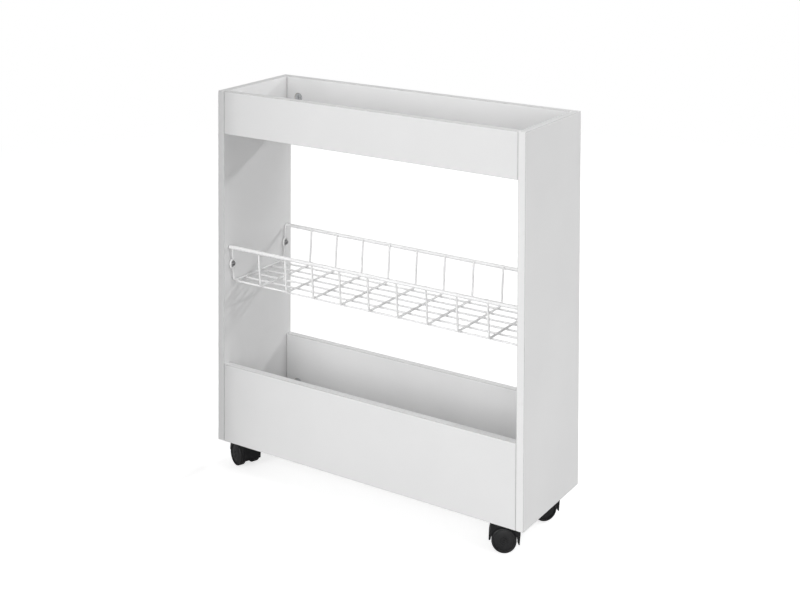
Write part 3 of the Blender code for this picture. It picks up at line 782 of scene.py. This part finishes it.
def plate_mesh(low, high):
    """Pressed plate with rounded corners, countersunk holes and the riveted king pin, top at z = 0."""
    half, drop = (high.x - low.x) / 2, high.z - low.z
    centre_line, bottom = half - PLATE_CORNER, -PLATE_THICKNESS
    outline = []
    for sx, sy, start in ((1, 1, 0), (-1, 1, 90), (-1, -1, 180), (1, -1, 270)):
        outline += arc((sx * centre_line, sy * centre_line), PLATE_CORNER, start, start + 90, 8)
    bm = bmesh.new()
    rows = []
    for height, inset in ((0.0, 0.0003), (-0.0003, 0.0), (bottom + 0.0005, 0.0), (bottom, 0.0005)):
        share = (half - inset) / half
        rows.append([bm.verts.new((x * share, y * share, height)) for x, y in outline])
    skin(bm, rows)
    plate = add_object("plate_source", to_mesh(bm, "castor_plate"), (BLACK_STEEL,))
    pin = [(0, -drop), (KING_PIN_RADIUS - 0.001, -drop), (KING_PIN_RADIUS, 0.001 - drop),
           (KING_PIN_RADIUS, bottom - 0.0002), (KING_PIN_RADIUS + SMALL_ROUND, bottom + 0.0003),
           (0, -0.001)]
    combine(plate, lathe_mesh("king_pin", pin, 40), "UNION")
    wide, narrow = CASTOR_SCREW_HEAD + RUNNING_GAP, PILOT_RADIUS
    hole = [(0, bottom - 0.001), (wide, bottom - 0.001), (wide, bottom + RUNNING_GAP),
            (narrow, RUNNING_GAP + CASTOR_SCREW_CONE + bottom), (narrow, 0.001), (0, 0.001)]
    bm = bmesh.new()
    for sx in (-1, 1):
        for sy in (-1, 1):
            place = Matrix.Translation((sx * PLATE_HOLE_PITCH / 2, sy * PLATE_HOLE_PITCH / 2, 0))
            lathe(bm, hole, 32, place)
    combine(plate, to_mesh(bm, "countersinks"), "DIFFERENCE")
    mesh = plate.data
    mesh.shade_smooth()
    mesh.set_sharp_from_angle(angle=PART_SHARP_ANGLE)
    bpy.data.objects.remove(plate)
    return mesh


def plate_screw_mesh(length):
    """Countersunk screw pointing up from its recessed head at z = 0."""
    profile = [(0, 0), (CASTOR_SCREW_HEAD - 0.0001, 0), (CASTOR_SCREW_HEAD, 0.0001),
               (CASTOR_SCREW_HEAD, 0.0003), (SCREW_RADIUS, CASTOR_SCREW_CONE),
               (SCREW_RADIUS, length - SCREW_RADIUS), (0, length)]
    screw = add_object("screw_source", lathe_mesh("plate_screw", profile, 32), (ZINC,))
    flip = Matrix.Rotation(math.pi, 4, "X")
    combine(screw, cross_mesh("recess", *CASTOR_SCREW_RECESS, flip), "DIFFERENCE")
    screw.data.set_sharp_from_angle(angle=PART_SHARP_ANGLE)
    mesh = screw.data
    bpy.data.objects.remove(screw)
    return mesh


def add_castors():
    wheel = wheel_mesh()
    low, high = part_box("front_left_castor_plate")
    plate = plate_mesh(low, high)
    hood_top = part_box("front_left_castor_housing")[1].z
    housing = housing_mesh(hood_top, low.z)
    screw_low, screw_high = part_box("front_left_plate_screw_1")
    screw = plate_screw_mesh(screw_high.z - screw_low.z)
    for corner in CORNERS:
        matrix = castor_frame(corner)
        swivel = matrix.translation
        mounting = add_object(corner + "_castor_plate_finished", plate)
        mounting.location = (swivel.x, swivel.y, high.z)
        place_piece(mounting, "cart", "black_steel", corner + "_castor_plate")
        for k in range(1, SCREWS_PER_PLATE + 1):
            node = f"{corner}_plate_screw_{k}"
            item = add_object(node + "_finished", screw)
            centre = middle(node)
            item.location = (centre.x, centre.y, screw_low.z)
            # Every screw stops at another angle of its cross.
            item.rotation_euler.z = math.radians(23 * k + 40 * CORNERS.index(corner))
            place_piece(item, "cart", "zinc", node)
        item = add_object(corner + "_castor_housing_finished", housing)
        item.matrix_world = matrix
        place_piece(item, corner + "_castor", "black_plastic", corner + "_castor_housing")
        for side, sign in (("left", -1), ("right", 1)):
            item = add_object(f"{corner}_castor_wheel_{side}_finished", wheel)
            hub = Matrix.Translation((TRAIL, 0, WHEEL_RADIUS)) @ Matrix.Rotation(sign * math.pi / 2, 4, "X")
            item.matrix_world = matrix @ hub
            place_piece(item, f"{corner}_wheel_{side}", "wheel_plastic", f"{corner}_castor_wheel_{side}")
        axle = frame["nodes"][corner + "_castor_axle"]
        axle.data.materials.clear()
        axle.data.materials.append(STEEL)


# ---- Studio ------------------------------------------------------------------------------------
# Angles in degrees and the lens in mm, set so that the cabinet's edges fall as in the photo.
CAMERA_PLACE = Vector((1.180, -1.822, 1.034))
CAMERA_AZIMUTH = 32.83
CAMERA_PITCH = 1.82
CAMERA_ROLL = 0.21
CAMERA_LENS = 63.9
CAMERA_SHIFT = (0.0042, -0.5413)

FLOOR_RADIUS = 14.0
FLOOR_TONE = 0.62
FLOOR_NEAR, FLOOR_FAR = 1.0, 2.6            # where its fade into pure white starts and ends
FLOOR_LIFT = 0.70
SKY_STRENGTH = 0.35
# Opposite corners of the upright card.
FLAG = ((-0.296, -0.215, 0.0), (-0.296, -0.096, 0.72))
LIGHT_TARGET_HEIGHT = 0.3
# name, azimuth from the front towards +X, height angle, distance, size, power
LIGHTS = (
    ("key_left", -15, 20, 2.5, 1.2, 23.3),
    ("key_right", 30, 10, 2.5, 1.2, 15.2),
    ("side", 95, 40, 2.5, 1.2, 17.0),
    ("rear", 144.3, 24.9, 3.11, 0.12, 19.0),
    ("top", 0, 90, 2.6, 1.4, 6.5),
    ("back", 205, 10, 2.5, 1.2, 12.0),
    ("wires", -40, 35, 1.0, 0.4, 1.3),
)


def direction(azimuth, height):
    """Unit vector at an azimuth from the front (-Y) towards +X, and a height angle."""
    level = math.cos(height)
    return Vector((math.sin(azimuth) * level, -math.cos(azimuth) * level, math.sin(height)))


def add_camera():
    """Camera with a lens shift, as for a product shot with upright verticals.

    The shift is driven by the camera's own place, so it is zero once the camera moves round the object.
    """
    data = bpy.data.cameras.new("camera")
    data.sensor_width = 36.0
    data.lens = CAMERA_LENS
    camera = bpy.data.objects.new("camera", data)
    bpy.context.scene.collection.objects.link(camera)
    azimuth, pitch = math.radians(CAMERA_AZIMUTH), math.radians(CAMERA_PITCH)
    turn = (-direction(azimuth, pitch)).to_track_quat("-Z", "Y").to_matrix().to_4x4()
    camera.matrix_world = (Matrix.Translation(CAMERA_PLACE) @ turn
                           @ Matrix.Rotation(math.radians(CAMERA_ROLL), 4, "Z"))
    for channel, amount in zip(("shift_x", "shift_y"), CAMERA_SHIFT):
        driver = data.driver_add(channel).driver
        driver.type = "SCRIPTED"
        place = driver.variables.new()
        place.name = "x"
        place.type = "TRANSFORMS"
        place.targets[0].id = camera
        place.targets[0].transform_type = "LOC_X"
        place.targets[0].transform_space = "WORLD_SPACE"
        driver.expression = f"{amount} if abs(x - {CAMERA_PLACE.x}) < 0.001 else 0"
    bpy.context.scene.camera = camera


def add_light(name, place, target, size, power):
    data = bpy.data.lights.new(name, "AREA")
    data.shape = "SQUARE"
    data.size = size
    data.energy = power
    light = bpy.data.objects.new(name, data)
    bpy.context.scene.collection.objects.link(light)
    light.location = place
    light.rotation_euler = (Vector(target) - Vector(place)).to_track_quat("-Z", "Y").to_euler()
    return light


def floor_material():
    """Pale paper that runs out into pure white, lifted for the camera only, and unseen from below."""
    finish = Finish("studio_floor", (FLOOR_TONE, FLOOR_TONE, FLOOR_TONE), 0.85, specular=0.2)
    finish.gloss(finish.fit(finish.noise(3.0, 3.0), 0.3, 0.7, 0.80, 0.90))
    finish.bump(finish.noise(180.0, 2.0), 0.03, 0.0002)
    tree = finish.tree
    distance = finish.node("ShaderNodeVectorMath", {0: finish.place}, operation="LENGTH").outputs["Value"]
    away = finish.fit(distance, FLOOR_NEAR, FLOOR_FAR, 0.0, 1.0)
    seen = finish.node("ShaderNodeLightPath").outputs["Is Camera Ray"]
    lift = finish.node("ShaderNodeMath", {0: seen, 1: FLOOR_LIFT}, operation="MULTIPLY").outputs["Value"]
    tree.links.new(lift, finish.shader.inputs["Emission Strength"])
    finish.shader.inputs["Emission Color"].default_value = (1.0, 1.0, 1.0, 1.0)
    white = finish.node("ShaderNodeEmission", {"Strength": seen}).outputs["Emission"]
    blend = finish.node("ShaderNodeMixShader", {"Fac": away, 1: finish.shader.outputs["BSDF"], 2: white})
    behind = finish.node("ShaderNodeNewGeometry").outputs["Backfacing"]
    below = finish.node("ShaderNodeMath", {0: seen, 1: behind}, operation="MULTIPLY").outputs["Value"]
    clear = finish.node("ShaderNodeBsdfTransparent").outputs["BSDF"]
    surface = finish.node("ShaderNodeMixShader", {"Fac": below, 1: blend.outputs["Shader"], 2: clear})
    tree.links.new(surface.outputs["Shader"], tree.nodes["Material Output"].inputs["Surface"])
    return finish.material


def add_world():
    """Even soft sky light; the camera itself sees it as pure white."""
    world = bpy.data.worlds.new("studio")
    world.use_nodes = True
    tree = world.node_tree
    background = tree.nodes["Background"]
    background.inputs["Color"].default_value = (1.0, 1.0, 1.0, 1.0)
    path = tree.nodes.new("ShaderNodeLightPath")
    strength = tree.nodes.new("ShaderNodeMapRange")
    tree.links.new(path.outputs["Is Camera Ray"], strength.inputs["Value"])
    strength.inputs["To Min"].default_value = SKY_STRENGTH
    strength.inputs["To Max"].default_value = 1.0
    tree.links.new(strength.outputs["Result"], background.inputs["Strength"])
    bpy.context.scene.world = world
    bpy.context.scene.view_settings.view_transform = "Standard"


def add_flag():
    """Dark card beside the left front edge, unseen by the camera, that shades the front's left end."""
    (x, near, bottom), (_, far, top) = FLAG
    bm = bmesh.new()
    corners = [(x, near, bottom), (x, far, bottom), (x, far, top), (x, near, top)]
    bm.faces.new([bm.verts.new(corner) for corner in corners])
    flag = add_object("flag", to_mesh(bm, "flag"))
    flag.data.materials.append(Finish("flag", (0.04, 0.04, 0.04), 1.0, specular=0.0).material)
    flag.visible_camera = False
    return flag


def add_studio(basket):
    """Floor, sky and lights; one more light falls on the basket only, to keep its thin wires crisp."""
    bm = bmesh.new()
    bmesh.ops.create_circle(bm, cap_ends=True, segments=96, radius=FLOOR_RADIUS)
    floor = add_object("studio_floor", to_mesh(bm, "studio_floor"), (floor_material(),))
    add_world()
    unflagged = bpy.data.collections.new("unflagged")
    unflagged.objects.link(add_flag())
    unflagged.collection_objects[0].light_linking.link_state = "EXCLUDE"
    centre = Vector((0, 0, LIGHT_TARGET_HEIGHT))
    for name, azimuth, height, distance, size, power in LIGHTS:
        away = direction(math.radians(azimuth), math.radians(height))
        light = add_light(name, centre + away * distance, centre, size, power)
        # The back light would mirror in the boards' upper edges, and the flag shades only the keys.
        light.visible_glossy = name != "back"
        if not name.startswith("key"):
            light.light_linking.blocker_collection = unflagged
        if name == "wires":
            lit = bpy.data.collections.new("lit_by_wires")
            lit.objects.link(basket)
            light.light_linking.receiver_collection = lit


add_boards()
add_cam_locks()
BASKET = add_basket()
add_basket_screws()
add_castors()
add_camera()
add_studio(BASKET)

bpy.context.view_layer.update()
